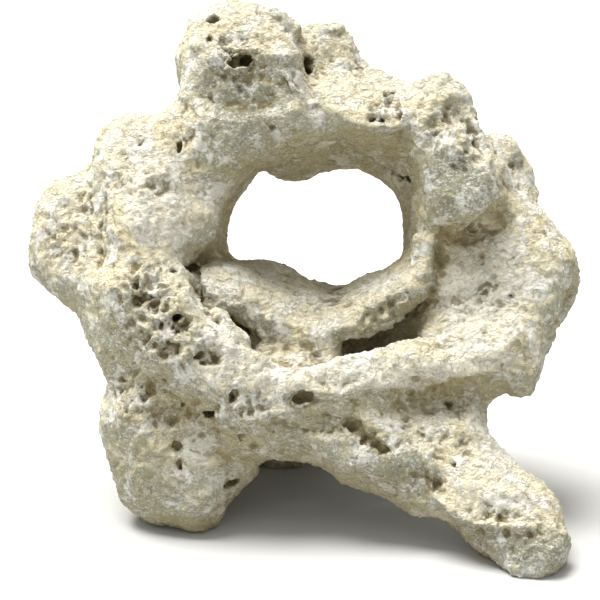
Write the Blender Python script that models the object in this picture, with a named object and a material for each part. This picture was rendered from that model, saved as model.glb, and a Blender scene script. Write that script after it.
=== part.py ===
"""A pierced limestone rock that stands on three feet: one solid, in metres, +Z up.

The stone is laid out as it is seen from in front and a little above. A place is
(across, up, back) in millimetres: to the right of the middle line, above the middle,
and behind the ring's own plane. It is then leaned back by the angle of that view, so
that its feet meet the ground together.
"""

import math

import bmesh
import bpy
from mathutils import Matrix, Vector

MM = 0.001
NODE = "limestone_rock"

# How the layout is seen, and the ground's height in the leaned stone
SIGHT_DISTANCE = 1500.0
SIGHT_DROP = math.radians(20)
GROUND = -98.0

# The middle of the stone's footprint, right of and behind the leaned layout's own zero
MIDDLE_RIGHT = 1.2
MIDDLE_BACK = -21.1

# The working meshes: voxels in millimetres, and how the last one is finished
LUMP_VOXEL = 4.0
CLEFT_VOXEL = 1.5
STONE_VOXEL = 2.5
SMOOTHINGS = 6
CLOUD_MIDDLE = 0.42
TRIANGLES = 9600

# Each lump is the hull of balls, each ball (across, up, back, radius)
LUMPS = {
    "knob": [
        (-48, 117, -18, 8), (-9, 115, -20, 8), (-49, 92, -20, 10), (-6, 92, -20, 10),
        (-50, 137, 6, 8), (-39, 142, 10, 8), (-23, 143, 10, 8), (-11, 131, 8, 8),
        (-35, 95, 25, 14),
    ],
    "knob_ear": [(-55, 120, 8, 8), (-55, 112, 8, 7), (-46, 112, 8, 10)],
    "top_ridge": [(-2, 129, 20, 8), (17, 131, 22, 8), (5, 105, 16, 14), (24, 106, 20, 11)],
    "ridge_step": [(26, 112, 16, 8), (37, 106, 14, 9), (56, 98, 8, 10), (30, 90, 16, 12)],
    "arch": [
        (-5, 94, -16, 9), (42, 88, -16, 8), (-20, 78, 22, 18), (50, 72, 18, 16),
        (15, 100, 15, 14), (42, 98, 12, 12), (56, 95, 8, 14), (15, 70, 22, 14),
    ],
    "arch_left": [
        (-30, 88, -20, 12), (-56, 80, -20, 12), (-40, 60, -14, 10), (-38, 72, 14, 18),
        (-50, 50, 10, 16), (-8, 88, -14, 10),
    ],
    "horn": [(72, 111, -6, 5), (61, 92, -14, 12), (82, 97, -8, 7), (76, 72, -24, 15)],
    "right_wall": [
        (66, 76, -20, 11), (69, 48, -26, 8), (86, 60, -24, 13), (86, 48, -32, 8),
        (96, 58, 5, 16), (62, 55, 18, 14), (62, 30, 12, 14), (62, 22, -8, 5),
    ],
    "right_bump": [(99, 77, 6, 8), (106, 67, 6, 8), (103, 50, 5, 15), (88, 70, 5, 12)],
    "right_flank": [
        (121, 18, -8, 17.5), (117, 28, -4, 15), (117, 0, -16, 15), (99, 42, 0, 19),
        (110, -15, -22, 15), (90, 10, 22, 22),
    ],
    "right_corner": [(111, -39, -34, 9), (112, -25, -28, 12), (92, -33, -40, 8), (96, -15, -5, 16)],
    "bowl_floor": [
        (92, 0, 10, 22), (76, -4, 2, 20), (60, -48, 5, 16), (92, -24, -20, 18), (40, -16, 32, 14),
        (74, -20, -16, 16),
    ],
    "rim_right": [
        (16, -36, -46, 7), (50, -35, -48, 7), (74, -29, -46, 8), (100, -20, -40, 10),
        (40, -56, -30, 14), (78, -50, -25, 14),
    ],
    "rim_middle": [
        (-2, -52, -46, 9), (14, -38, -46, 8), (30, -40, -46, 9), (-2, -66, -36, 14),
        (40, -62, -30, 14),
    ],
    "rim_left": [
        (-66, 6, -40, 11), (-42, -22, -46, 9), (-64, -20, -38, 20), (-36, -50, -40, 16),
        (-60, -40, -20, 20),
    ],
    "rim_notch": [
        (-42, -22, -46, 9), (-18, -37, -46, 9), (-3, -50, -46, 9), (-30, -60, -36, 17),
        (-5, -66, -34, 14),
    ],
    "left_shoulder": [
        (-86, 70, -10, 17), (-64, 80, -12, 16), (-58, 45, -12, 21), (-80, 30, -20, 24),
        (-70, 50, 20, 20), (-50, 80, 10, 16),
    ],
    "shoulder_peak": [(-91, 78, -6, 12), (-82, 86, -2, 8), (-97, 62, -4, 10)],
    "far_lobe": [
        (-114, 44, 6, 18), (-121, 28, 6, 15), (-127, 18, 8, 10), (-97, 12, 0, 24),
        (-100, 54, 4, 14),
    ],
    "left_bulge": [
        (-78, 5, -26, 25), (-64, -4, -28, 22), (-79, -30, -24, 20), (-50, -40, -30, 20),
        (-94, -2, -8, 19),
    ],
    "left_leg": [
        (-77, -58, -22, 23), (-75, -84, -18, 20), (-55, -97, -22, 20), (-42, -70, -26, 18),
        (-72, -97, -18, 16),
        (-60, -60, 10, 22), (-60, -84, 5, 18),
    ],
    "leg_spur": [(-27, -86, -26, 8), (-36, -76, -24, 13)],
    "arm_root": [
        (32, -77, -38, 17), (18, -68, -36, 17), (72, -58, -30, 20), (76, -84, -42, 17),
        (62, -91, -42, 17),
    ],
    "arm": [
        (70, -84, -44, 17), (80, -74, -36, 13), (98, -110, -54, 17), (115, -107, -56, 16),
        (121, -125, -66, 14), (112, -126, -64, 14),
    ],
    "back_foot": [
        (-55, -20, 45, 26), (20, -20, 48, 24), (-50, -59, 58, 18), (16, -62, 56, 15),
        (-12, -71, 53, 14), (50, -25, 40, 18),
    ],
    "left_ring": [(-54, 42, 0, 17), (-54, 20, 8, 17), (-60, 30, 30, 20), (-55, -5, 20, 18)],
    "back_ridge": [(-70, 66, 24, 14), (-44, 84, 32, 14), (-48, 52, 40, 16), (-6, 96, 34, 12)],
    "back_knuckle": [(62, 40, 32, 16), (84, 54, 22, 14), (70, 10, 42, 15), (48, -10, 50, 14)],
    "heel": [(-44, -44, 66, 14), (-58, -30, 56, 16), (-40, -66, 66, 13)],
    "heel_right": [(16, -40, 64, 13), (30, -24, 56, 14), (12, -62, 60, 12)],
}

# The hole's neck, as seen: (across, up)
NECK = [
    (-35, 33), (-34, 45), (-29, 56), (-19, 68), (-9, 60.5), (2, 57.5), (10, 64), (22, 67),
    (35, 64), (45, 56), (51, 46), (53, 34), (50, 19), (38, 11), (24, 5), (14, 5), (4, 13),
    (-6, 20), (-18, 20), (-30, 18),
]
NECK_MIDDLE = (8, 38)
# The hole's sections along the line of sight: (back, width and height as shares of the neck)
HOLE_SECTIONS = [(-90, 1.5, 1.5), (-5, 1.1, 1.1), (15, 1.0, 1.0), (30, 1.0, 1.0), (90, 1.6, 1.6)]

# Hollows: balls as for the lumps
HOLLOWS = {
    "funnel": [(-2, 46, -50, 38), (30, 54, -54, 42), (-2, 42, 2, 29), (20, 44, 2, 31)],
    "funnel_left": [(-14, 40, -58, 34), (0, 44, -30, 32), (0, 10, -50, 30)],
    "bowl": [(92, 18, -46, 20), (78, 18, -38, 16), (94, -8, -64, 24), (78, -10, -58, 22)],
    "bowl_side": [(74, 20, -30, 10), (70, 2, -34, 12), (68, -8, -44, 14), (84, 4, -50, 20)],
    "niche": [(96, 35, -36, 8), (80, 30, -28, 8), (90, 24, -34, 10)],
    "trough_right": [
        (26, -27, -24, 7), (50, -10, -24, 8), (48, -24, -10, 10), (28, -32, -4, 10),
        (46, -28, -24, 7),
    ],
    "trough_left": [(-50, 2, -34, 4), (-36, -10, -34, 4), (-46, 6, -10, 4)],
    "trough_middle": [(-26, -20, -34, 4), (2, -30, -40, 6), (16, -29, -36, 6), (2, -30, -24, 6)],
    "under_brow": [(50, -52, -60, 12), (92, -47, -52, 13), (72, -44, -52, 8), (60, -50, -48, 9)],
    "leg_arch": [(-8, -112, -60, 26), (6, -110, 30, 26), (30, -127, -60, 20), (30, -120, 30, 20)],
    "lobe_groove": [(-101, 62, -26, 6), (-102, 20, -32, 6)],
    "back_hollow": [(-24, -24, 92, 18), (4, -34, 92, 16), (-10, -8, 84, 14)],
    "back_pocket": [(-66, 44, 66, 18), (-84, 30, 56, 14)],
    "back_groove": [(-40, 112, 48, 9), (-26, 84, 54, 12), (-34, 62, 58, 10)],
    "back_scoop": [(96, 40, 50, 16), (84, 8, 62, 18), (112, 14, 44, 12)],
    "foot_groove": [(-34, -62, 88, 8), (-30, -92, 90, 10), (-26, -40, 88, 8)],
}

# The cleft between the ledge's left end and the rim, and the dark hole below it
CLEFT = {
    "cleft_top": [(-57, 19, -48, 2.5), (-50, 0, -48, 3), (-56, 19, -24, 2), (-49, 0, -18, 3)],
    "cleft_bend": [(-50, 0, -48, 3), (-38, -10, -48, 3), (-49, 0, -18, 3), (-36, -10, -12, 3)],
    "cleft_hole": [(-37, -11, -48, 4), (-28, -18, -48, 4), (-35, -11, -4, 5), (-27, -17, -4, 5)],
}

# The ledge that hangs across the bottom of the hole
LEDGE = {
    "ledge_left": [
        (-46, 10, -26, 8), (-34, -2, -30, 7), (-18, -12, -31, 6), (0, -17, -31, 5),
        (-34, 12, 16, 7), (-12, 14, 24, 6), (-26, -11, -24, 6),
    ],
    "ledge_middle": [(0, -17, -31, 5), (22, -15, -30, 4), (16, -1, 24, 6), (-8, 10, 24, 6)],
    "ledge_right": [(20, -15, -30, 4), (63, 14, -27, 5), (50, 14, 10, 6), (16, -1, 24, 6)],
    "strut": [
        (-16, -18, -26, 6), (14, -22, -24, 5), (-10, -38, -34, 6), (3, -47, -38, 6),
        (12, -42, -34, 6), (0, -30, 0, 10),
    ],
}


def place(across, up, back):
    """The point, in metres, that is seen at (across, up) and lies that far back."""
    spread = (SIGHT_DISTANCE + back) / SIGHT_DISTANCE
    seen = Vector((across * spread, back, up * spread))
    leaned = Matrix.Rotation(-SIGHT_DROP, 3, "X") @ seen
    return (leaned - Vector((MIDDLE_RIGHT, MIDDLE_BACK, GROUND))) * MM


def object_from(name, mesh):
    """An object that holds this bmesh, in the scene."""
    data = bpy.data.meshes.new(name)
    mesh.to_mesh(data)
    mesh.free()
    made = bpy.data.objects.new(name, data)
    bpy.context.scene.collection.objects.link(made)
    return made


def add_hull(mesh, balls):
    """Adds the convex hull of these balls to the bmesh."""
    lump = bmesh.new()
    for across, up, back, radius in balls:
        at = Matrix.Translation(place(across, up, back))
        bmesh.ops.create_icosphere(lump, subdivisions=3, radius=radius * MM, matrix=at)
    hull = bmesh.ops.convex_hull(lump, input=lump.verts)
    inside = [v for v in hull["geom_interior"] if isinstance(v, bmesh.types.BMVert)]
    bmesh.ops.delete(lump, geom=inside, context="VERTS")
    bmesh.ops.recalc_face_normals(lump, faces=lump.faces)
    loose = bpy.data.meshes.new("lump")
    lump.to_mesh(loose)
    lump.free()
    mesh.from_mesh(loose)
    bpy.data.meshes.remove(loose)


def add_hole(mesh):
    """Adds the hole's cutter: the neck's outline, widened towards both ends."""
    rings = []
    for back, wide, high in HOLE_SECTIONS:
        ring = []
        for across, up in NECK:
            x = NECK_MIDDLE[0] + (across - NECK_MIDDLE[0]) * wide
            z = NECK_MIDDLE[1] + (up - NECK_MIDDLE[1]) * high
            ring.append(mesh.verts.new(place(x, z, back)))
        rings.append(ring)
    made = [mesh.faces.new(rings[0]), mesh.faces.new(reversed(rings[-1]))]
    for near, far in zip(rings, rings[1:]):
        for i in range(len(NECK)):
            j = (i + 1) % len(NECK)
            made.append(mesh.faces.new((near[j], near[i], far[i], far[j])))
    bmesh.ops.recalc_face_normals(mesh, faces=made)


def fused(name, groups, voxel, with_hole=False):
    """One object that holds the hulls of these groups, fused by a voxel remesh."""
    mesh = bmesh.new()
    for balls in groups.values():
        add_hull(mesh, balls)
    if with_hole:
        add_hole(mesh)
    made = object_from(name, mesh)
    add_fuse(made, voxel)
    return made


def add_fuse(made, voxel):
    """Makes all that the object holds one closed skin."""
    step = made.modifiers.new("Fuse", "REMESH")
    step.mode = "VOXEL"
    step.voxel_size = voxel * MM


def add_boolean(made, other, operation):
    """Cuts or joins the object with another, which is then only a guide."""
    step = made.modifiers.new(other.name, "BOOLEAN")
    step.operation = operation
    step.object = other
    other.hide_render = True
    other.display_type = "WIRE"


def add_smooth(made, times):
    """Softens the steps that the voxels leave."""
    step = made.modifiers.new("Soften", "SMOOTH")
    step.factor = 0.5
    step.iterations = times


def add_weathering(made, name, scale, height):
    """Moves the surface in and out by clouds of this scale, this high from low to high."""
    texture = bpy.data.textures.new(name, "CLOUDS")
    texture.noise_scale = scale * MM
    step = made.modifiers.new(name, "DISPLACE")
    step.texture = texture
    step.texture_coords = "LOCAL"
    step.mid_level = CLOUD_MIDDLE
    step.strength = height * MM


def add_thinning(made, triangles):
    """Thins the mesh to about this many triangles."""
    graph = bpy.context.evaluated_depsgraph_get()
    faces = made.evaluated_get(graph).to_mesh()
    faces.calc_loop_triangles()
    step = made.modifiers.new("Thin", "DECIMATE")
    step.ratio = triangles / len(faces.loop_triangles)
    step.use_collapse_triangulate = True


def ground():
    """Everything below the ground: taking it away leaves the feet flat."""
    mesh = bmesh.new()
    bmesh.ops.create_cube(mesh, size=1.0)
    bmesh.ops.translate(mesh, verts=mesh.verts, vec=(0, 0, -0.5))
    return object_from("ground", mesh)


def limestone():
    """The stone's plain cream colour."""
    material = bpy.data.materials.new("limestone")
    material.use_nodes = True
    shader = material.node_tree.nodes["Principled BSDF"]
    shader.inputs["Base Color"].default_value = (0.62, 0.56, 0.43, 1)
    shader.inputs["Roughness"].default_value = 0.95
    return material


def build():
    """The whole stone, as one object."""
    for old in list(bpy.data.objects):
        bpy.data.objects.remove(old)
    stone = fused(NODE, LUMPS, LUMP_VOXEL)
    hollows = fused("hollows", HOLLOWS, STONE_VOXEL, with_hole=True)
    add_boolean(stone, hollows, "DIFFERENCE")
    add_boolean(stone, fused("ledge", LEDGE, LUMP_VOXEL), "UNION")
    add_fuse(stone, STONE_VOXEL)
    add_boolean(stone, fused("cleft", CLEFT, CLEFT_VOXEL), "DIFFERENCE")
    add_fuse(stone, STONE_VOXEL)
    add_smooth(stone, SMOOTHINGS)
    add_weathering(stone, "Broad weathering", scale=24, height=6)
    add_weathering(stone, "Fine weathering", scale=9, height=3)
    add_thinning(stone, TRIANGLES)
    add_boolean(stone, ground(), "DIFFERENCE")
    stone.data.materials.append(limestone())
    return stone


build()
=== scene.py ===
"""The pierced limestone rock: its weathered skin, its finish, the light and the view."""

import math
import random

import bpy
import numpy as np
from mathutils import Matrix, Vector
from mathutils.bvhtree import BVHTree


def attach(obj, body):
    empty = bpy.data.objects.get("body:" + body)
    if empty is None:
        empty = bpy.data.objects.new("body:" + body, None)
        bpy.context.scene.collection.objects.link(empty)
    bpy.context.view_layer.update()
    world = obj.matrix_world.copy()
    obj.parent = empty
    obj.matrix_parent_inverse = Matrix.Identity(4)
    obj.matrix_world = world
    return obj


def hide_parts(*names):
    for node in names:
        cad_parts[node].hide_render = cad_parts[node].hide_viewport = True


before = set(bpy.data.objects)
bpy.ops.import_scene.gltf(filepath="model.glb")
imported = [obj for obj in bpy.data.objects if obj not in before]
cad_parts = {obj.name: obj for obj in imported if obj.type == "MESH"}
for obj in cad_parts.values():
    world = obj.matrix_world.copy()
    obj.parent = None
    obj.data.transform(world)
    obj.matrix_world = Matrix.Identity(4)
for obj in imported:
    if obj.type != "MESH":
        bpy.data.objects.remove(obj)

MM = 0.001
UP = Vector((0, 0, 1))
BACK = Vector((0, 1, 0))
STONE = "limestone_rock"
SKIN = "weathered_limestone"

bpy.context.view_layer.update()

# How the stone's layout is seen, as the solid has it: millimetres across, up and back
SIGHT_DISTANCE = 1500.0
SIGHT_DROP = math.radians(20)
ZERO = Vector((1.2, -21.1, -98.0))
LEAN = Matrix.Rotation(-SIGHT_DROP, 3, "X")

# The mesh: voxels and doubles in millimetres, and the most triangles it may have
BODY_VOXEL = 1.6
RIDGE_VOXEL = 1.1
PIT_VOXEL = 0.8
SKIN_VOXEL = 0.9
DOUBLES = 0.01
TRIANGLES = 194000
WEIGHT_STEPS = 32

# How many times each surface or value is smoothed
BODY_SMOOTHINGS = 4
RIDGE_SMOOTHINGS = 2
BLEND_SMOOTHINGS = 24
HOLLOW_SMOOTHINGS = 12
SKY_SMOOTHINGS = 4
SMOOTHING = 0.5

# Ragged balls, which make the ridges and cut the pits: their forms and turns
LUCK = 11
BALL_FORMS = 6
BALL_RAGGED = 0.3
MOST_TURN = 3

# Ridges: the step and stray of their lumps as shares of the width, and how sizes vary
RIDGE_STEP = 0.3
RIDGE_STRAY = 0.12
RIDGE_WIDTHS = (0.7, 1.1)
RIDGE_SHAPES = (0.6, 1.0)
RIDGE_HEIGHTS = (0.6, 1.1)

# Bars: the step as a share of the radius, the stray in millimetres, and how sizes vary
BAR_STEP = 0.5
BAR_STRAY = 0.4
BAR_SIZES = (0.85, 1.1)
BLENDED_BACK = 10

# Cracks: the step and stray of their pits in millimetres, and how sizes vary
CRACK_STEP = 1.5
CRACK_STRAY = 0.5
CRACK_WIDTHS = (0.6, 1.2)
CRACK_DEPTHS = (1.2, 2)

# Small pits: the least width and what chance adds, in millimetres, then shares of it
LEAST_PIT = 1.3
PIT_RANGE = 3.2
PIT_RARITY = 2.5
PIT_HEIGHTS = (0.5, 1.0)
PIT_DEPTHS = (1.0, 2.4)
PIT_EDGE_SCALE = 2.4
PIT_EDGE_HEIGHT = 3.0

# Families of small pits: how they spread, and how many are strewn and how low
FAMILY_SPREAD = 0.6
STREWN_FAMILIES = 110
STREWN_COUNT = (1, 8)
STREWN_SPREAD = 6
STREWN_LOWEST = 4

# Relief of the skin: name and kind of texture, scale and height in millimetres, middle
# level, the group it keeps to, and the texture's own settings
SCOOP_DEPTH = 5.0
RELIEF = [
    ("Lumps", "CLOUDS", 13, 3.2, 0.5, "", {"noise_depth": 3}),
    ("Crags", "MUSGRAVE", 5.5, 3.4, 0.69, "rugged", {"musgrave_type": "RIDGED_MULTIFRACTAL"}),
    ("Crust", "CLOUDS", 3.4, 1.5, 0.3, "rough", {"noise_depth": 3, "noise_type": "HARD_NOISE"}),
    ("Grain", "CLOUDS", 1.7, 0.9, 0.5, "", {"noise_depth": 2}),
]

# Where the skin is smoothest, (across, up, reach, reach), and how it grows rough from there
HOLE = (10, 30, 62, 66)
BOWL = (84, 6, 34, 42)
SMOOTH_WITHIN = 0.75
ROUGH_RAMP = 0.4
LEAST_ROUGH = 0.3
ROUGH_BACK = 40
RUGGED_ALL = 0.2
LEAST_FACING = 0.2
FACING_GAIN = 2

# Soft round spots: their full reach, and the share of it over which they fade; then how far the painted
# light and shade keeps to faces turned towards the eye
SPOT_REACH = 1.25
SPOT_RAMP = 0.5
LIGHT_AND_SHADE_FACING = 0.6

# Ways to the sky: how many and how they spread, which vertices look, and from how far out
SKY_WAYS = 14
SKY_LUCK = 5
SKY_SPREAD = 0.7
SKY_RISE = (0.9, 0.4)
SKY_LOWEST = 0.1
SKY_EVERY = 3
SKY_LIFT = 0.6


def place(across, up, back):
    """The point, in metres, that is seen at (across, up) and lies that far back."""
    spread = (SIGHT_DISTANCE + back) / SIGHT_DISTANCE
    return (LEAN @ Vector((across * spread, back, up * spread)) - ZERO) * MM


def as_seen(at):
    """Where points, one row each, are seen: across, up and back, in millimetres."""
    laid = (at / MM + np.array(ZERO)) @ np.array(LEAN)
    spread = (SIGHT_DISTANCE + laid[:, 1]) / SIGHT_DISTANCE
    return laid[:, 0] / spread, laid[:, 2] / spread, laid[:, 1]


EYE = place(0, 0, 0) - LEAN @ Vector((0, SIGHT_DISTANCE * MM, 0))


def only(piece):
    """Selects this piece alone and makes it the active one."""
    bpy.ops.object.select_all(action="DESELECT")
    piece.select_set(True)
    bpy.context.view_layer.objects.active = piece


def in_edit_mode(piece, work):
    """Runs this work in edit mode with all of the piece selected."""
    only(piece)
    bpy.ops.object.mode_set(mode="EDIT")
    bpy.ops.mesh.select_all(action="SELECT")
    work()
    bpy.ops.object.mode_set(mode="OBJECT")


def modify(piece, kind, **settings):
    """Adds a modifier with these settings and applies it."""
    only(piece)
    step = piece.modifiers.new(kind.title(), kind)
    for name, value in settings.items():
        setattr(step, name, value)
    bpy.ops.object.modifier_apply(modifier=step.name)


def fuse(piece, voxel):
    """Makes all that the piece holds one closed skin of this grain."""
    modify(piece, "REMESH", mode="VOXEL", voxel_size=voxel * MM)


def smooth(piece, times, group=""):
    """Evens out the piece, or only the part of it that this group holds."""
    modify(piece, "SMOOTH", factor=SMOOTHING, iterations=times, vertex_group=group)


def clouds(piece, name, kind, scale, height, middle=0.5, group="", **settings):
    """Moves the surface by a texture of this scale, this high from its low to its high."""
    texture = bpy.data.textures.new(name, kind)
    texture.noise_scale = scale * MM
    for key, value in settings.items():
        setattr(texture, key, value)
    modify(piece, "DISPLACE", texture=texture, texture_coords="LOCAL", mid_level=middle,
           strength=height * MM, vertex_group=group)


def copy_of_solid():
    """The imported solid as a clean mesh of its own, rounded between its facets."""
    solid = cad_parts[STONE]
    piece = bpy.data.objects.new(SKIN, solid.data.copy())
    bpy.context.scene.collection.objects.link(piece)
    in_edit_mode(piece, lambda: bpy.ops.mesh.remove_doubles(threshold=DOUBLES * MM))
    modify(piece, "SUBSURF", levels=1, render_levels=1)
    fuse(piece, BODY_VOXEL)
    smooth(piece, BODY_SMOOTHINGS)
    return piece


def skin_of(piece):
    """What a sight line meets: a tree of the piece's faces as they are now."""
    return BVHTree.FromObject(piece, bpy.context.evaluated_depsgraph_get())


# Ridges of the photographed side: a line of (across, up), then its width and height
SEEN_RIDGES = [
    ([(-59, 14), (-53, 9), (-51, -3), (-40, -11), (-34, -23), (-15, -31), (-8, -37), (2, -44)], 5, 2.2),
    ([(9, -38), (13, -30), (30, -29), (51, -28), (64, -23), (80, -15), (98, -13)], 5, 2.0),
    ([(8, -45), (22, -48), (35, -40), (48, -42), (60, -43), (75, -37), (90, -35), (110, -36)], 5, 2.8),
    ([(-7, 113), (-2, 102), (8, 98), (22, 92), (32, 87), (48, 86), (53, 91), (62, 104), (71, 110)],
     5, 2.2),
    ([(88, 88), (92, 75), (94, 64), (98, 54), (104, 47), (107, 42)], 5, 2.6),
    ([(68, 33), (77, 38), (84, 39), (88, 44), (95, 50), (98, 53)], 5, 2.8),
    ([(63, -74), (66, -86), (67, -97), (82, -110), (98, -113), (118, -115)], 5, 3.6),
    ([(-20, -16), (-12, -26), (-3, -35), (2, -40)], 5, 1.8),
    ([(2, -22), (3, -31), (4, -39)], 5, 1.6),
    ([(-82, 62), (-80, 40), (-84, 20)], 6, 0.9),
    ([(-6, 94), (-10, 84), (-15, 70)], 3, 0.9),
    ([(-90, -52), (-70, -49), (-50, -56), (-28, -60), (-10, -56), (4, -62)], 6, 1.4),
]

# Bars that square edges, fill out the outline, thicken the ledge and raise the rim
# beside it: a line of (across, up, back), then its radius
SEEN_BARS = [
    ([(-53, 127, -19), (-33, 123, -22), (-3, 122, -22)], 3.5),
    ([(-3, 122, -22), (-2, 111, -22), (-1, 104, -21)], 3.5),
    ([(-52, 138, 8), (-46, 143, 10)], 5),
    ([(72.5, 111.3, -12), (66, 109, -12), (58, 106.5, -11)], 4),
    ([(-15.5, 142, 4), (-8, 138, 3), (-1, 134, 6)], 4.5),
    ([(5, 134.5, 16), (13, 135.3, 16), (21, 135.4, 17)], 4),
    ([(-132, 18, 5), (-129, 12.5, 4), (-122, 11, 0)], 4.5),
    ([(105.5, -43, -34), (110, -45, -36), (115.5, -43, -34)], 4.5),
    ([(104, 77, 6), (111, 67, 6), (113.5, 60, 6), (116, 50, 4)], 4),
    ([(134, 20, -6), (135.5, 11, -8), (132.5, 2, -10), (126.5, -10, -14)], 5),
    ([(126.5, -10, -14), (122, -19, -20), (118, -30, -26), (113, -41, -32)], 5),
    ([(110, -132.5, -72), (118, -134, -73), (125, -132, -71)], 7),
    ([(129, -120, -66), (129.5, -128, -69)], 6),
    ([(-12, -79.5, 50), (2, -79.5, 50)], 6),
    ([(66, 24, -10), (90, 24, -14)], 8),
    ([(66, 17, -11), (90, 17, -15)], 8),
    ([(64, 14, -12), (64, 4, -14)], 7),
    ([(86, 26, -13), (90, 6, -19)], 8),
    ([(67, 10, -13), (90, 10, -18)], 8),
    ([(68, 4, -15), (88, 4, -20)], 7),
    ([(-18, -23, -25), (-10, -24, -24), (4, -24, -24)], 7),
    ([(-16, -28, -30), (4, -28, -30)], 7),
    ([(-12, -33, -36), (4, -33, -36)], 7),
    ([(62, 12, -22), (64, 22, -22), (65, 31, -23)], 4.5),
    ([(58, 14, -20), (60, 22, -20), (61, 31, -21)], 5),
    ([(-46, 8, -28), (-42, 1, -30), (-37, -5, -31)], 6),
    ([(-30, 0, -27), (-22, -7, -29), (-12, -13, -30), (-4, -17, -30)], 6.5),
    ([(22, -14, -26), (32, -13, -25), (42, -8, -24), (51, -1, -24), (58, 6, -23), (62, 12, -21)], 6.5),
    ([(-41, -8, -42), (-36, -16, -44), (-28, -22, -46)], 4.5),
    ([(-20, -24, -26), (-24, -20, -24)], 4),
]

# Pits of the photographed side: (across, up, width, height, depth, turn in degrees)
SEEN_PITS = [
    (-28.5, 120, 11, 5.5, 13, -8), (-33, 118, 6, 5, 6, 0), (4, 118, 5, 11, 16, 5),
    (-44, 141, 9, 6, 5, 30), (-46, 131, 5, 3, 5, 0), (-45, 76, 3, 3, 5, 0),
    (-4, 83, 3.4, 2, 4, 0), (-14, 86, 5, 3, 2.5, 20), (-60, 76.5, 2.5, 4, 6, 0),
    (-89.5, 51.5, 3, 3, 5, 0), (-85, 56.5, 3, 2.5, 4, 0), (-86, 11, 4, 3, 7, 0),
    (-82, 6.5, 5, 3, 7, 0), (-73, 1.5, 6, 2.5, 6, 0), (-63, 14.5, 3, 4, 6, 0),
    (-60, 22.5, 3, 2.5, 5, 0), (-53.5, 16.5, 9, 4.5, 14, -15), (-62, -9.5, 4, 5, 10, 0),
    (-70, -12.5, 4, 5, 8, 0), (-78, -11, 7, 2.5, 6, 10), (-33.5, -48, 3.4, 7, 11, 15),
    (-46, -57, 6.5, 4.5, 10, -10),
    (-68, -40, 3, 3, 6, 0), (-72, -40.5, 2.5, 2.5, 5, 0), (1, -50, 11, 5.5, 6, -25),
    (-29.5, -69, 3, 3, 6, 0), (-13.5, -67, 4, 2.5, 6, -30), (-62, -73.5, 3, 4, 7, 0),
    (-60, -83.5, 3, 7, 6, -15), (-72, -88, 3, 2.5, 5, 0), (-34, -92, 10, 4, 7, -10),
    (27, -64, 9, 6, 6, -30), (34, -69, 11, 5.5, 7, -38), (41, -75, 8, 4.5, 7, -40),
    (30.5, -66.5, 8, 4.5, 6, -36), (37.5, -72, 8, 4, 6.5, -38),
    (49, -83.5, 7, 2.2, 8, -35), (62, -80, 2, 4, 5, 20),
    (42, -48, 3, 2.5, 4, 0), (74, -52.5, 6.5, 4, 5, 30), (88.5, -77.5, 5, 2.5, 5, 0),
    (63, -87.5, 2.5, 3, 4, 0), (86.5, 34, 3, 4, 6, 20),
    (78.5, 23.5, 2.5, 2.5, 5, 0), (85, 17.5, 2.5, 2.5, 5, 0), (92.5, 9.5, 2.5, 2.5, 5, 0),
    (46.5, 103.5, 3.5, 7, 9, 15), (42, 103, 5, 3, 6, -20), (36, 91, 6, 4, 6, -10),
    (41, 89.5, 4, 4, 8, 0), (31, 93, 4, 3, 5, 0), (52, 105, 3, 2.5, 4, 0), (39, 97, 5, 3, 6, 30),
    (52, 60.5, 11, 3.6, 12, -12), (46, 64, 6, 3, 6, -50), (120, 17.5, 2.2, 3.4, 4, 0),
    (110, -118.5, 3, 2.5, 3, 0), (115, -117.5, 2.5, 2.5, 3, 0),
]

# Scoops of the photographed side: (across, up, reach, reach, share of the full depth)
SEEN_SCOOPS = [
    (-28, 107, 26, 14, 0.9), (78, 82, 14, 17, 0.8), (82, 33, 14, 6, 0.6), (97, 39, 8, 6, 0.4),
    (50, -93, 26, 8, 0.4),
    (-80, 2, 5, 4, 0.4), (-60, -12, 6, 5, 0.9),
    (-65, -25, 6, 4, 0.7), (-46, -28, 7, 5, 0.9), (1, -51, 8, 5, 0.6),
    (-70, 57, 6, 5, 0.4), (108, 62, 6, 9, 0.6), (-97, 30, 5, 20, 0.4),
    (-57, 88, 5, 12, 0.6), (8, -62, 22, 6, 0.5), (-40, -72, 26, 8, 0.3),
    (104, -104, 12, 6, 0.4), (-64, -58, 12, 6, 0.4), (-28, 128, 14, 5, 0.5), (36, 112, 14, 8, 0.5),
]

# Families of small pits on the photographed side: (across, up, reach, how many)
SEEN_FAMILIES = [
    (-75, 2, 9, 9), (-60, -16, 9, 5), (-62, -44, 12, 4), (42, 97, 5, 14), (-75, 60, 12, 4),
    (70, -78, 10, 4), (92, 14, 14, 3), (-115, 32, 8, 4), (-22, -66, 12, 3), (-60, -88, 10, 3),
    (30, -64, 8, 3), (0, 78, 14, 6), (100, -112, 10, 3),
]

# Rugged places of the photographed side: (across, up, reach, reach, amount)
SEEN_RUGGED = [
    (-76, -2, 17, 20, 0.6), (-60, -24, 18, 12, 0.6), (42, 97, 10, 9, 1.0), (-84, 62, 12, 10, 0.3),
    (62, -68, 20, 10, 0.3), (-84, -46, 10, 12, 0.4), (-30, 112, 20, 14, 0.25), (80, 84, 16, 16, 0.3),
    (-28, -6, 16, 12, 0.35), (46, -4, 18, 10, 0.35), (-50, -55, 34, 14, 0.3), (100, 4, 14, 28, 0.2),
    (100, -116, 26, 14, 0.2), (-112, 34, 16, 20, 0.3),
]

# Places where added bars blend into the stone: (across, up, reach, reach, amount)
SEEN_BLENDS = [(78, 13, 16, 18, 1.0), (-4, -27, 16, 9, 1.0)]
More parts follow.
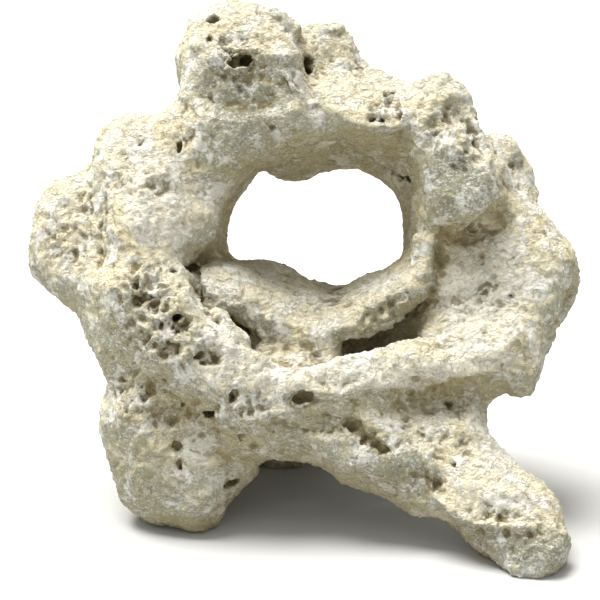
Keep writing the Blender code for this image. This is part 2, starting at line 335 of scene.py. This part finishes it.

# Painted shade and painted light on the photographed side, partly also the stone's own grey and pale
# faces: (across, up, reach, reach, amount), shade below zero and light above
SEEN_LIGHT_AND_SHADE = [
    (-28, 108, 28, 18, -1.0), (74, 82, 15, 20, -0.8), (78, 54, 16, 16, -1.2), (84, 36, 14, 7, 0.6),
    (118, -124, 18, 12, -1.2),
    (-82, -22, 16, 26, -0.3), (-28, 82, 20, 12, -0.9), (130, 0, 10, 26, -0.3), (-7, -82, 14, 7, -4.0),
    (46, -88, 28, 12, -1.1), (82, -120, 20, 9, -1.4), (16, -66, 26, 12, -0.4), (66, -50, 34, 6, -0.5),
    (-72, 52, 20, 28, 1.0), (-118, 34, 14, 24, 0.6), (92, 4, 20, 30, 2.2), (20, -36, 60, 8, 2.8),
    (-36, -30, 14, 14, 0.9), (88, -88, 24, 16, 0.7), (126, 30, 10, 16, 0.4), (90, -28, 20, 7, 1.1),
    (-28, 141, 22, 9, -0.6),
]

# Cracks of the photographed side: a line of (across, up), then its width and depth
SEEN_CRACKS = [
    ([(-90, 73), (-84, 74), (-80, 78), (-77, 82)], 2.4, 6),
    ([(-62, 79), (-61, 74), (-57, 71)], 1.6, 4),
    ([(42, 66), (47, 63), (52, 61)], 2.2, 6),
    ([(71, -77), (76, -78), (76, -84)], 1.6, 4),
    ([(22, -62), (34, -67), (44, -77)], 2.0, 6),
    ([(-57, 17), (-51, 14), (-50, 6), (-49, -2)], 2.6, 7),
]


def ragged_ball(seed):
    """A ragged ball, a millimetre in radius, to be copied as lumps and pits."""
    bpy.ops.object.select_all(action="DESELECT")
    bpy.ops.mesh.primitive_ico_sphere_add(subdivisions=2, radius=MM)
    ball = bpy.context.object
    in_edit_mode(ball, lambda: bpy.ops.transform.vertex_random(offset=BALL_RAGGED * MM, seed=seed))
    return ball


def put_ball(balls, chance, at, inward, size, turn):
    """A copy of one of the balls at this point, its depth along the inward direction."""
    side = inward.cross(UP).normalized()
    tall = side.cross(inward).normalized()
    turned = Matrix.Rotation(turn, 3, inward)
    axes = [turned @ side, turned @ tall, inward]
    spread = Matrix([axis * length / 2 for axis, length in zip(axes, size)]).transposed()
    ball = balls[chance.randrange(len(balls))]
    copy = bpy.data.objects.new("ball", ball.data.copy())
    copy.matrix_world = Matrix.Translation(at) @ spread.to_4x4()
    bpy.context.scene.collection.objects.link(copy)
    return copy


def sight(skin, across, up):
    """The point that is seen there, and the way out of the stone, half towards the eye."""
    at, normal, _, _ = skin.ray_cast(EYE, (place(across, up, 0) - EYE).normalized())
    if at is None:
        return None, None
    return at, ((EYE - at).normalized() + normal).normalized()


def along(line, step, stray, chance):
    """Points along a line, this far apart, each strayed a little to a side."""
    for start, end in zip(line, line[1:]):
        steps = max(2, round(math.dist(start, end) / step))
        for i in range(steps):
            yield [a + (b - a) * i / steps + chance.uniform(-stray, stray)
                   for a, b in zip(start, end)]


def seen_ridges(balls, chance, skin):
    """The lumps that make up the ridges and bars that the photograph shows."""
    lumps = []
    for line, wide, high in SEEN_RIDGES:
        for across, up in along(line, wide * RIDGE_STEP, wide * RIDGE_STRAY, chance):
            at, away = sight(skin, across, up)
            if at is None:
                continue
            broad = wide * chance.uniform(*RIDGE_WIDTHS)
            size = (broad, broad * chance.uniform(*RIDGE_SHAPES),
                    high * 2 * chance.uniform(*RIDGE_HEIGHTS))
            lumps.append(put_ball(balls, chance, at, away, size, chance.random() * MOST_TURN))
    for line, radius in SEEN_BARS:
        for across, up, back in along(line, radius * BAR_STEP, BAR_STRAY, chance):
            size = [radius * 2 * chance.uniform(*BAR_SIZES) for _ in range(3)]
            at = place(across, up, back)
            lumps.append(put_ball(balls, chance, at, BACK, size, chance.random() * MOST_TURN))
    return lumps


def seen_pits(balls, chance, skin):
    """The pits and cracks that the photograph shows, each where it is seen."""
    pits = []
    for across, up, wide, high, deep, turn in SEEN_PITS:
        at, away = sight(skin, across, up)
        if at is not None:
            size = (wide, high, deep * 2)
            pits.append(put_ball(balls, chance, at, -away, size, math.radians(turn)))
    for line, wide, deep in SEEN_CRACKS:
        for across, up in along(line, CRACK_STEP, CRACK_STRAY, chance):
            at, away = sight(skin, across, up)
            if at is not None:
                size = (wide * chance.uniform(*CRACK_WIDTHS), wide,
                        deep * chance.uniform(*CRACK_DEPTHS))
                pits.append(put_ball(balls, chance, at, -away, size, 0))
    for across, up, reach, how_many in SEEN_FAMILIES:
        spread = reach * FAMILY_SPREAD
        for _ in range(how_many):
            at, away = sight(skin, chance.gauss(across, spread), chance.gauss(up, spread))
            if at is not None:
                pits.append(small_pit(balls, chance, at, away))
    return pits


def small_pit(balls, chance, at, away):
    """One small pit of a chance size and turn."""
    wide = LEAST_PIT + PIT_RANGE * chance.random() ** PIT_RARITY
    size = (wide, wide * chance.uniform(*PIT_HEIGHTS), wide * chance.uniform(*PIT_DEPTHS))
    return put_ball(balls, chance, at, -away, size, chance.random() * MOST_TURN)


def strewn_pits(balls, chance, piece, skin):
    """Families of small pits on all the sides that the photograph doesn't show."""
    faces = piece.data.polygons
    pits = []
    for _ in range(STREWN_FAMILIES):
        middle = faces[chance.randrange(len(faces))].center.copy()
        for _ in range(chance.randint(*STREWN_COUNT)):
            near = middle + Vector([chance.gauss(0, STREWN_SPREAD * MM) for _ in range(3)])
            at, normal, _, _ = skin.find_nearest(near)
            if at.z > STREWN_LOWEST * MM and normal.dot(EYE - at) < 0:
                pits.append(small_pit(balls, chance, at, normal))
    return pits


def joined(pieces):
    """These pieces as one, with nothing left of their own turns and sizes."""
    bpy.context.view_layer.update()
    bpy.ops.object.select_all(action="DESELECT")
    for piece in pieces:
        piece.select_set(True)
    bpy.context.view_layer.objects.active = pieces[0]
    bpy.ops.object.join()
    bpy.ops.object.transform_apply(location=True, rotation=True, scale=True)
    return bpy.context.object


def raise_ridges(piece, balls, chance):
    """Adds the ridges and bars to the piece and blends in those that fill a hollow."""
    lumps = seen_ridges(balls, chance, skin_of(piece))
    joined([piece] + lumps)
    fuse(piece, RIDGE_VOXEL)
    smooth(piece, RIDGE_SMOOTHINGS)
    across, up, back = as_seen(points(piece).astype(np.float64))
    weigh(piece, "blended", in_spots(SEEN_BLENDS, across, up) * (back < BLENDED_BACK))
    smooth(piece, BLEND_SMOOTHINGS, "blended")


def bore_pits(piece, balls, chance):
    """Cuts all the pits and cracks out of the piece."""
    skin = skin_of(piece)
    cutter = joined(seen_pits(balls, chance, skin) + strewn_pits(balls, chance, piece, skin))
    fuse(cutter, PIT_VOXEL)
    clouds(cutter, "Ragged pits", "CLOUDS", PIT_EDGE_SCALE, PIT_EDGE_HEIGHT)
    modify(piece, "BOOLEAN", operation="DIFFERENCE", solver="MANIFOLD", object=cutter)
    bpy.data.objects.remove(cutter)


def points(piece):
    """The places of the piece's vertices, one row each."""
    out = np.empty(len(piece.data.vertices) * 3, np.float32)
    piece.data.vertices.foreach_get("co", out)
    return out.reshape(-1, 3)


def normals_of(piece):
    """The directions that the piece's vertices face, one row each."""
    out = np.empty(len(piece.data.vertices) * 3, np.float32)
    piece.data.vertices.foreach_get("normal", out)
    return out.reshape(-1, 3).astype(np.float64)


def from_middle(spot, across, up):
    """How many reaches each point lies from this spot's middle."""
    x, z, wide, high = spot
    return np.hypot((across - x) / wide, (up - z) / high)


def in_spots(spots, across, up):
    """How far each point lies in soft round spots, each (across, up, reach, reach, amount)."""
    total = np.zeros(len(across))
    for *spot, amount in spots:
        inside = SPOT_REACH - from_middle(spot, across, up)
        total += amount * np.clip(inside, 0, SPOT_RAMP) / SPOT_RAMP
    return total


def weigh(piece, name, weights):
    """Keeps these weights, one a vertex, as a vertex group."""
    group = piece.vertex_groups.new(name=name)
    level = np.round(np.clip(weights, 0, 1) * WEIGHT_STEPS).astype(int)
    for i in range(WEIGHT_STEPS + 1):
        group.add(np.flatnonzero(level == i).tolist(), i / WEIGHT_STEPS, "REPLACE")


def note_roughness(piece):
    """Weighs where the skin is scooped, rough and rugged: it is smoothest round the hole."""
    across, up, back = as_seen(points(piece).astype(np.float64))
    near = np.minimum(from_middle(HOLE, across, up), from_middle(BOWL, across, up))
    near += np.maximum(0, back - ROUGH_BACK) / ROUGH_BACK
    rough = np.clip((near - SMOOTH_WITHIN) / ROUGH_RAMP, 0, 1)
    facing = np.clip(-FACING_GAIN * normals_of(piece)[:, 1], 0, 1)
    rugged = in_spots(SEEN_RUGGED, across, up) * np.maximum(facing, LEAST_FACING)
    weigh(piece, "scooped", in_spots(SEEN_SCOOPS, across, up) * facing)
    weigh(piece, "rough", rough * (1 - LEAST_ROUGH) + LEAST_ROUGH)
    weigh(piece, "rugged", RUGGED_ALL + rugged)


def weather(piece):
    """Scoops, lumps, crags, crust and grain on the skin."""
    fuse(piece, SKIN_VOXEL)
    note_roughness(piece)
    modify(piece, "DISPLACE", strength=-SCOOP_DEPTH * MM, mid_level=0, vertex_group="scooped")
    for name, kind, scale, height, middle, group, settings in RELIEF:
        clouds(piece, name, kind, scale, height, middle, group, **settings)


def thin(piece):
    """Thins the mesh to the triangles it may have and sets its feet on the ground."""
    piece.data.calc_loop_triangles()
    modify(piece, "DECIMATE", ratio=min(1.0, TRIANGLES / len(piece.data.loop_triangles)),
           use_collapse_triangulate=True)
    at = points(piece)
    at[:, 2] = np.maximum(at[:, 2], 0)
    piece.data.vertices.foreach_set("co", at.ravel())
    piece.data.update()


def neighbour_mean(values, ends, count):
    """Each vertex's value, averaged with those that its edges lead to."""
    total = values.copy()
    np.add.at(total, ends[:, 0], values[ends[:, 1]])
    np.add.at(total, ends[:, 1], values[ends[:, 0]])
    return total / (count + 1)[:, None]


def note_hollows(piece):
    """Keeps on each vertex how hollow it is, how much painted light and shade it takes, and how much
    sky it sees.
    """
    mesh = piece.data
    at = points(piece).astype(np.float64)
    normals = normals_of(piece)
    ends = np.empty(len(mesh.edges) * 2, np.int32)
    mesh.edges.foreach_get("vertices", ends)
    ends = ends.reshape(-1, 2)
    count = np.bincount(ends.ravel(), minlength=len(at)).astype(np.float64)
    evened = at
    for _ in range(HOLLOW_SMOOTHINGS):
        evened = neighbour_mean(evened, ends, count)
    keep(mesh, "hollow", ((evened - at) * normals).sum(axis=1) / MM)
    across, up, _ = as_seen(at)
    facing = np.clip(LIGHT_AND_SHADE_FACING - normals[:, 1], 0, 1)
    keep(mesh, "painted_light_and_shade", in_spots(SEEN_LIGHT_AND_SHADE, across, up) * facing)
    keep(mesh, "sky", sky_seen(piece, at, normals, ends, count))


def sky_seen(piece, at, normals, ends, count):
    """The share of the sky above each vertex that no part of the stone hides."""
    skin = skin_of(piece)
    chance = random.Random(SKY_LUCK)
    ways = []
    while len(ways) < SKY_WAYS:
        way = Vector((chance.gauss(0, SKY_SPREAD), chance.gauss(0, SKY_SPREAD),
                      chance.gauss(*SKY_RISE)))
        if way.z > SKY_LOWEST:
            ways.append(way.normalized())
    seen = np.zeros(len(at))
    for i in range(0, len(at), SKY_EVERY):
        start = Vector(at[i]) + Vector(normals[i]) * (SKY_LIFT * MM)
        open_ways = sum(1 for way in ways if skin.ray_cast(start, way)[0] is None)
        seen[i] = open_ways / len(ways)
    known = np.zeros(len(at))
    known[::SKY_EVERY] = 1
    both = np.stack([seen, known], axis=1)
    for _ in range(SKY_SMOOTHINGS):
        both = neighbour_mean(both, ends, count)
    return both[:, 0] / np.maximum(both[:, 1], 1e-6)


def keep(mesh, name, values):
    """Keeps one number a vertex under this name."""
    layer = mesh.attributes.new(name, "FLOAT", "POINT")
    layer.data.foreach_set("value", values.astype(np.float32))


class Nodes:
    """Short ways to add and link nodes in one tree."""

    def __init__(self, tree):
        self.tree = tree

    def add(self, kind, inputs=(), **settings):
        """A node of this kind, each input linked or set, with these settings."""
        node = self.tree.nodes.new("ShaderNode" + kind)
        for name, value in settings.items():
            setattr(node, name, value)
        for socket, value in dict(inputs).items():
            if isinstance(value, bpy.types.NodeSocket):
                self.tree.links.new(value, node.inputs[socket])
            else:
                node.inputs[socket].default_value = value
        return node

    def attribute(self, name):
        """What the mesh keeps on its vertices under this name."""
        return self.add("Attribute", attribute_name=name).outputs["Fac"]

    def ramp(self, factor, low, high, to_low=0.0, to_high=1.0):
        """A soft step from one value to the other between low and high."""
        node = self.add("MapRange", {"Value": factor, "From Min": low, "From Max": high,
                                     "To Min": to_low, "To Max": to_high},
                        interpolation_type="SMOOTHSTEP")
        return node.outputs["Result"]

    def noise(self, where, scale, detail, roughness=0.6, distortion=0.0):
        """Noise of this many waves a metre."""
        node = self.add("TexNoise", {"Vector": where, "Scale": scale, "Detail": detail,
                                     "Roughness": roughness, "Distortion": distortion})
        return node.outputs["Fac"]

    def times(self, a, b):
        """The two values multiplied."""
        return self.add("Math", {0: a, 1: b}, operation="MULTIPLY").outputs[0]

    def plus(self, a, b, share):
        """The first value and this share of the second."""
        return self.add("Math", {0: a, 1: self.times(b, share)}, operation="ADD").outputs[0]

    def mix(self, factor, a, b):
        """The first colour, and the second where the factor is high."""
        return self.add("Mix", {0: factor, 6: a, 7: b}, data_type="RGBA").outputs[2]


# Colours of the stone and painted light and shade: lit on top, shaded on its sides, and in its hollows
# brown that is partly stain and partly painted shade
LIT_TOP_CREAM = (0.88, 0.77, 0.52, 1)
LIT_TOP_PALE = (0.93, 0.86, 0.66, 1)
LIT_TOP_CRUST = (0.99, 0.98, 0.91, 1)
SHADED_SIDE_GREY = (0.50, 0.475, 0.325, 1)
SHADED_SIDE_PALE = (0.555, 0.54, 0.40, 1)
SHADED_SIDE_CRUST = (0.86, 0.86, 0.78, 1)
PAINTED_TOP_DIMMING = (0.68, 0.64, 0.52, 1)
PAINTED_LIGHT_PALE = (0.98, 0.94, 0.80, 1)
PAINTED_SHADE_GREY = (0.33, 0.325, 0.25, 1)
FLECK = (0.98, 0.965, 0.89, 1)
GAP = (0.40, 0.35, 0.22, 1)
PINHOLE = (0.22, 0.17, 0.09, 1)
STAIN_AND_SHADE = (0.30, 0.235, 0.125, 1)
PAINTED_PIT_SHADE = (0.13, 0.095, 0.045, 1)
SHADE = (0.50, 0.41, 0.22, 1)

# Noise of the stone, from broad blotches to fine flecks, in waves a metre
BLOTCH_SCALE = 30
PATCH_SCALE = 75
FLAKE_SCALE = 200
FLECK_SCALE = 700
FLATNESS = (1.0, 1.0, 1.45)

# How the stone takes the light
STONE_ROUGHNESS = 0.95
STONE_SPECULAR = 0.2
BUMP_DISTANCE = 0.006


def stone_material():
    """Cream limestone, its tops painted lit and its sides painted shaded and greyer: brown in its
    hollows, partly stain and partly painted shade, with white crust on what stands out.
    """
    material = bpy.data.materials.new("limestone")
    material.use_nodes = True
    n = Nodes(material.node_tree)
    where = n.add("TexCoord").outputs["Object"]
    flat = n.add("Mapping", {"Vector": where, "Scale": FLATNESS}).outputs["Vector"]
    upward = n.add("SeparateXYZ", {0: n.add("NewGeometry").outputs["Normal"]}).outputs["Z"]
    hollow = n.attribute("hollow")
    sky = n.attribute("sky")
    painted_light_and_shade = n.attribute("painted_light_and_shade")
    blotch = n.noise(where, BLOTCH_SCALE, 5)
    patch = n.noise(where, PATCH_SCALE, 7, 0.66, 0.3)
    flake = n.noise(flat, FLAKE_SCALE, 6, 0.62, 0.5)
    fleck = n.noise(flat, FLECK_SCALE, 3, 0.6, 0.3)
    blotched = n.ramp(blotch, 0.35, 0.65)
    crusted = n.ramp(n.plus(patch, flake, 0.35), 0.69, 0.73)

    # The base, from the sides up to the top faces: the tops painted lit and the sides painted shaded
    # and greyer, partly also the stone's own grey-green fronts
    top = n.mix(blotched, LIT_TOP_CREAM, LIT_TOP_PALE)
    top = n.mix(n.times(crusted, 0.7), top, LIT_TOP_CRUST)
    side = n.mix(blotched, SHADED_SIDE_GREY, SHADED_SIDE_PALE)
    side = n.mix(n.times(crusted, 0.8), side, SHADED_SIDE_CRUST)
    colour = n.mix(n.ramp(n.plus(upward, painted_light_and_shade, 0.6), 0.0, 0.55), side, top)

    # The coats on it, stone colours and painted light and shade: where each lies, how strong it is, and
    # its colour
    coats = [
        # painted shade on the faces that look straight up, dimming the brightest-lit tops
        (n.ramp(upward, 0.6, 0.95), 0.6, PAINTED_TOP_DIMMING),
        # painted light on pale faces and painted shade on grey ones, partly also the stone's own pale
        # and grey faces
        (n.ramp(painted_light_and_shade, 0.3, 1.2), 0.7, PAINTED_LIGHT_PALE),
        (n.ramp(painted_light_and_shade, -0.4, -1.6), 0.6, PAINTED_SHADE_GREY),
        (n.ramp(n.plus(fleck, patch, 0.8), 0.92, 0.98), 0.65, FLECK),
        (n.ramp(n.plus(flake, patch, 0.5), 0.70, 0.62), n.ramp(blotch, 0.58, 0.42, 0.3, 0.62), GAP),
        (n.ramp(n.plus(fleck, patch, 0.5), 0.56, 0.52), 0.8, PINHOLE),
        # brown in the hollows, partly stain and partly painted shade; near-black painted shade in the
        # deepest pits
        (n.ramp(hollow, 0.35, 1.0), 0.75, STAIN_AND_SHADE),
        (n.ramp(hollow, 1.0, 1.9), 0.8, PAINTED_PIT_SHADE),
        # painted shade where the stone hides the sky, under overhangs and in the hole
        (n.ramp(sky, 0.45, 0.03), 0.62, SHADE),
    ]
    for mask, strength, coat in coats:
        colour = n.mix(n.times(mask, strength), colour, coat)

    relief = n.plus(n.plus(flake, fleck, 0.25), crusted, 0.12)
    bump = n.add("Bump", {"Height": relief, "Strength": 1.0, "Distance": BUMP_DISTANCE})
    shader = material.node_tree.nodes["Principled BSDF"]
    shader.inputs["Roughness"].default_value = STONE_ROUGHNESS
    shader.inputs["Specular IOR Level"].default_value = STONE_SPECULAR
    material.node_tree.links.new(colour, shader.inputs["Base Color"])
    material.node_tree.links.new(bump.outputs["Normal"], shader.inputs["Normal"])
    return material


# The studio: the floor, the sun from above and a little behind, the room and the camera
FLOOR_RADIUS = 12
FLOOR_CORNERS = 96
FLOOR_GREY = (0.58, 0.58, 0.58, 1)
FLOOR_ROUGHNESS = 0.9
SUN_FROM = Vector((-0.3, 0.25, 1.0))
SUN_POWER = 6.45
SUN_SPREAD = math.radians(40)
SUN_TINT = (1.0, 0.985, 0.94)
ROOM_TINT = (0.97, 0.98, 0.95, 1)
ROOM_POWER = 0.6
LENS = 180
NEAREST = 0.05


def floor():
    """A plain pale floor, wide enough to fill the view."""
    bpy.ops.object.select_all(action="DESELECT")
    bpy.ops.mesh.primitive_circle_add(vertices=FLOOR_CORNERS, radius=FLOOR_RADIUS, fill_type="NGON")
    piece = bpy.context.object
    piece.name = "floor"
    material = bpy.data.materials.new("floor")
    material.use_nodes = True
    shader = material.node_tree.nodes["Principled BSDF"]
    shader.inputs["Base Color"].default_value = FLOOR_GREY
    shader.inputs["Roughness"].default_value = FLOOR_ROUGHNESS
    piece.data.materials.append(material)


def sun():
    """Soft light from above and a little behind."""
    light = bpy.data.lights.new("sun", "SUN")
    light.energy = SUN_POWER
    light.angle = SUN_SPREAD
    light.color = SUN_TINT
    holder = bpy.data.objects.new("sun", light)
    holder.rotation_euler = SUN_FROM.to_track_quat("Z", "Y").to_euler()
    bpy.context.scene.collection.objects.link(holder)


def room():
    """A pale room all round, shown in plain colours."""
    world = bpy.data.worlds.new("room")
    world.use_nodes = True
    background = world.node_tree.nodes["Background"]
    background.inputs["Color"].default_value = ROOM_TINT
    background.inputs["Strength"].default_value = ROOM_POWER
    bpy.context.scene.world = world
    bpy.context.scene.view_settings.view_transform = "Standard"


def camera():
    """The camera, where the stone is seen as in the photograph."""
    data = bpy.data.cameras.new("camera")
    data.lens = LENS
    data.clip_start = NEAREST
    holder = bpy.data.objects.new("camera", data)
    holder.location = EYE
    holder.rotation_euler = (math.radians(90) - SIGHT_DROP, 0, 0)
    bpy.context.scene.collection.objects.link(holder)
    bpy.context.scene.camera = holder


rock = copy_of_solid()
luck = random.Random(LUCK)
forms = [ragged_ball(seed) for seed in range(BALL_FORMS)]
raise_ridges(rock, forms, luck)
bore_pits(rock, forms, luck)
for form in forms:
    bpy.data.objects.remove(form)
weather(rock)
thin(rock)
note_hollows(rock)
rock.data.shade_smooth()
rock.data.materials.clear()
rock.data.materials.append(stone_material())
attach(rock, "root")
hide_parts(STONE)
floor()
sun()
room()
camera()
